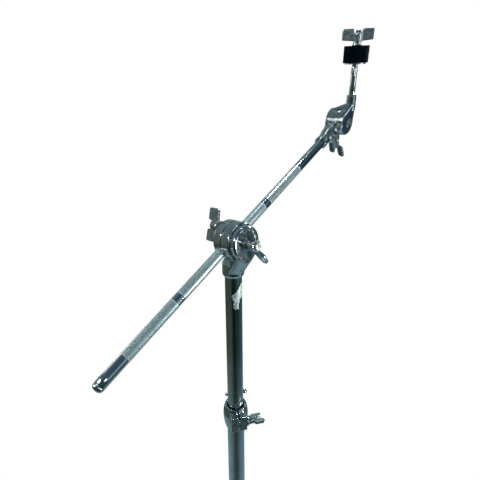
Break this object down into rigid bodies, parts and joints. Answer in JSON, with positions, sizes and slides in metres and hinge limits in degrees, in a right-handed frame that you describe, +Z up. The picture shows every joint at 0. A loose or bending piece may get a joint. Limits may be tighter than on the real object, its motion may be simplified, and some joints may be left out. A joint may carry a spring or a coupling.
{
  "type": "cymbal boom stand",
  "caption": "Chrome telescopic cymbal stand with a folding braced tripod, a tilting knurled boom, and a hinged cymbal rod with felts and a wing nut.",
  "frame": {"origin": "the column axis at floor level", "axes": "+Z up along the column; the boom rises towards +X; the tilt wing nut faces -Y"},
  "size_m": [0.5319, 0.5319, 1.2395],
  "materials": {
    "chrome_tube": "polished chrome plate on steel tube",
    "knurled_chrome": "chrome plate over diamond knurling, with polished bands",
    "cast_chrome": "chrome plate on die-cast metal, slightly soft reflections",
    "wing_chrome": "chrome plate on cast wing screws and nuts",
    "strap_chrome": "chrome plate on flat steel strap",
    "zinc_steel": "zinc-plated steel",
    "black_nylon": "moulded nylon",
    "rubber": "matt moulded rubber",
    "black_felt": "pressed wool felt"
  },
  "bodies": {
    "base": {"base_tube": "chrome_tube", "base_tube_plug": "black_nylon", "leg_spider": "cast_chrome", "leg_spider_screws": "zinc_steel", "base_clamp": "cast_chrome", "base_clamp_nut": "zinc_steel"},
    "base_screw": {"base_clamp_wing_bolt": "wing_chrome"},
    "leg_slide": {"leg_collar": "cast_chrome", "leg_collar_bush": "black_nylon"},
    "leg_screw": {"leg_collar_wing_bolt": "wing_chrome"},
    "leg_1": {"leg_1": "strap_chrome", "leg_rivets_1": "zinc_steel", "rubber_foot_1": "rubber"},
    "brace_1": {"brace_1": "strap_chrome", "brace_rivets_1": "zinc_steel"},
    "leg_2": {"leg_2": "strap_chrome", "leg_rivets_2": "zinc_steel", "rubber_foot_2": "rubber"},
    "brace_2": {"brace_2": "strap_chrome", "brace_rivets_2": "zinc_steel"},
    "leg_3": {"leg_3": "strap_chrome", "leg_rivets_3": "zinc_steel", "rubber_foot_3": "rubber"},
    "brace_3": {"brace_3": "strap_chrome", "brace_rivets_3": "zinc_steel"},
    "middle_bush": {"base_clamp_bush": "black_nylon"},
    "middle": {"middle_tube": "chrome_tube", "middle_tube_collar": "black_nylon", "middle_clamp": "cast_chrome", "middle_clamp_pin": "chrome_tube", "middle_clamp_nut": "zinc_steel"},
    "middle_screw": {"middle_clamp_wing_bolt": "wing_chrome"},
    "upper_bush": {"middle_clamp_bush": "black_nylon"},
    "upper": {"upper_tube": "chrome_tube", "tilter_body": "cast_chrome", "tilter_body_pin": "zinc_steel", "tilter_ratchet": "zinc_steel"},
    "holder": {"boom_holder": "cast_chrome", "boom_jaw": "cast_chrome", "boom_clamp_washer": "zinc_steel", "tilter_bolt": "zinc_steel"},
    "front_nut": {"tilter_wing_nut": "wing_chrome"},
    "clamp_screw": {"boom_clamp_wing_bolt": "wing_chrome"},
    "boom": {"boom_tube": "knurled_chrome", "boom_end_cap": "chrome_tube"},
    "cymbal_tilter": {"boom_ferrule": "cast_chrome", "tilter_block": "cast_chrome", "rod_holder_pivot": "zinc_steel"},
    "lock_screw": {"rod_lock_wing_bolt": "wing_chrome"},
    "rod": {"rod_holder": "cast_chrome", "cymbal_rod": "chrome_tube", "seat_washer": "zinc_steel", "rod_sleeve": "black_nylon", "lower_felt": "black_felt"},
    "top_felt": {"upper_felt": "black_felt"},
    "cymbal_nut": {"cymbal_wing_nut": "wing_chrome"}
  },
  "joints": [
    {"name": "leg_fold_slide", "type": "slide", "parent": "base", "child": "leg_slide", "axis": [0, 0, 1], "range_m": [0, 0.06331]},
    {"name": "leg_1_fold", "type": "hinge", "parent": "leg_slide", "child": "leg_1", "pos_m": [0.02608, 0.00699, 0.415], "axis": [-0.2588, 0.9659, 0], "range_deg": [0, 28.5]},
    {"name": "brace_1_fold", "type": "hinge", "parent": "leg_1", "child": "brace_1", "pos_m": [0.12901, 0.03457, 0.2577], "axis": [-0.2588, 0.9659, 0], "range_deg": [-57, 0]},
    {"name": "leg_2_fold", "type": "hinge", "parent": "leg_slide", "child": "leg_2", "pos_m": [-0.01909, 0.01909, 0.415], "axis": [-0.7071, -0.7071, 0], "range_deg": [0, 28.5]},
    {"name": "brace_2_fold", "type": "hinge", "parent": "leg_2", "child": "brace_2", "pos_m": [-0.09444, 0.09444, 0.2577], "axis": [-0.7071, -0.7071, 0], "range_deg": [-57, 0]},
    {"name": "leg_3_fold", "type": "hinge", "parent": "leg_slide", "child": "leg_3", "pos_m": [-0.00699, -0.02608, 0.415], "axis": [0.9659, -0.2588, 0], "range_deg": [0, 28.5]},
    {"name": "brace_3_fold", "type": "hinge", "parent": "leg_3", "child": "brace_3", "pos_m": [-0.03457, -0.12901, 0.2577], "axis": [0.9659, -0.2588, 0], "range_deg": [-57, 0]},
    {"name": "leg_screw_turn", "type": "hinge", "parent": "leg_slide", "child": "leg_screw", "pos_m": [-0.02705, -0.00725, 0.432], "axis": [-0.9659, -0.2588, 0], "range_deg": [0, 450]},
    {"name": "base_screw_turn", "type": "hinge", "parent": "base", "child": "base_screw", "pos_m": [-0.00099, -0.02145, 0.59], "axis": [0.8572, -0.515, 0], "range_deg": [0, 450]},
    {"name": "middle_swivel", "type": "hinge", "parent": "base", "child": "middle_bush", "pos_m": [0, 0, 0.58], "axis": [0, 0, 1], "continuous": true},
    {"name": "middle_height", "type": "slide", "parent": "middle_bush", "child": "middle", "axis": [0, 0, 1], "range_m": [-0.13, 0.17]},
    {"name": "middle_screw_turn", "type": "hinge", "parent": "middle", "child": "middle_screw", "pos_m": [-0.00017, -0.02008, 0.764], "axis": [0.8572, -0.515, 0], "range_deg": [0, 450]},
    {"name": "upper_swivel", "type": "hinge", "parent": "middle", "child": "upper_bush", "pos_m": [0, 0, 0.76], "axis": [0, 0, 1], "continuous": true},
    {"name": "upper_height", "type": "slide", "parent": "upper_bush", "child": "upper", "axis": [0, 0, 1], "range_m": [-0.16, 0.13]},
    {"name": "boom_tilt", "type": "hinge", "parent": "upper", "child": "holder", "pos_m": [0, 0, 1], "axis": [0, -1, 0], "range_deg": [-80, 19]},
    {"name": "tilt_nut_turn", "type": "hinge", "parent": "holder", "child": "front_nut", "pos_m": [0, -0.023, 1], "axis": [0, -1, 0], "range_deg": [0, 450]},
    {"name": "clamp_screw_turn", "type": "hinge", "parent": "holder", "child": "clamp_screw", "pos_m": [-0.00876, 0.011, 1.01457], "axis": [0, 1, 0], "range_deg": [0, 450]},
    {"name": "boom_reach", "type": "slide", "parent": "holder", "child": "boom", "axis": [0.8572, 0, 0.515], "range_m": [-0.15, 0.165]},
    {"name": "boom_roll", "type": "hinge", "parent": "boom", "child": "cymbal_tilter", "pos_m": [0.17143, 0, 1.10301], "axis": [0.8572, 0, 0.515], "continuous": true},
    {"name": "lock_screw_turn", "type": "hinge", "parent": "cymbal_tilter", "child": "lock_screw", "pos_m": [0.21215, 0.00551, 1.10513], "axis": [0.5107, 0.1288, -0.85], "range_deg": [0, 450]},
    {"name": "rod_tilt", "type": "hinge", "parent": "cymbal_tilter", "child": "rod", "pos_m": [0.21344, 0, 1.12824], "axis": [0.0663, -0.9917, -0.1104], "range_deg": [-90, 50]},
    {"name": "felt_lift", "type": "slide", "parent": "rod", "child": "top_felt", "axis": [-0.1576, -0.1197, 0.9802], "range_m": [0, 0.0051]},
    {"name": "cymbal_nut_turn", "type": "hinge", "parent": "top_felt", "child": "cymbal_nut", "pos_m": [0.20624, -0.02078, 1.22004], "axis": [-0.1576, -0.1197, 0.9802], "range_deg": [0, 1440]}
  ],
  "couplings": [
    {"joint": "leg_1_fold", "follows": "leg_fold_slide", "rad_per_m": 7.7507},
    {"joint": "brace_1_fold", "follows": "leg_fold_slide", "rad_per_m": -15.501},
    {"joint": "leg_2_fold", "follows": "leg_fold_slide", "rad_per_m": 7.7507},
    {"joint": "brace_2_fold", "follows": "leg_fold_slide", "rad_per_m": -15.501},
    {"joint": "leg_3_fold", "follows": "leg_fold_slide", "rad_per_m": 7.7507},
    {"joint": "brace_3_fold", "follows": "leg_fold_slide", "rad_per_m": -15.501},
    {"joint": "felt_lift", "follows": "cymbal_nut_turn", "m_per_rad": 0.000199}
  ]
}
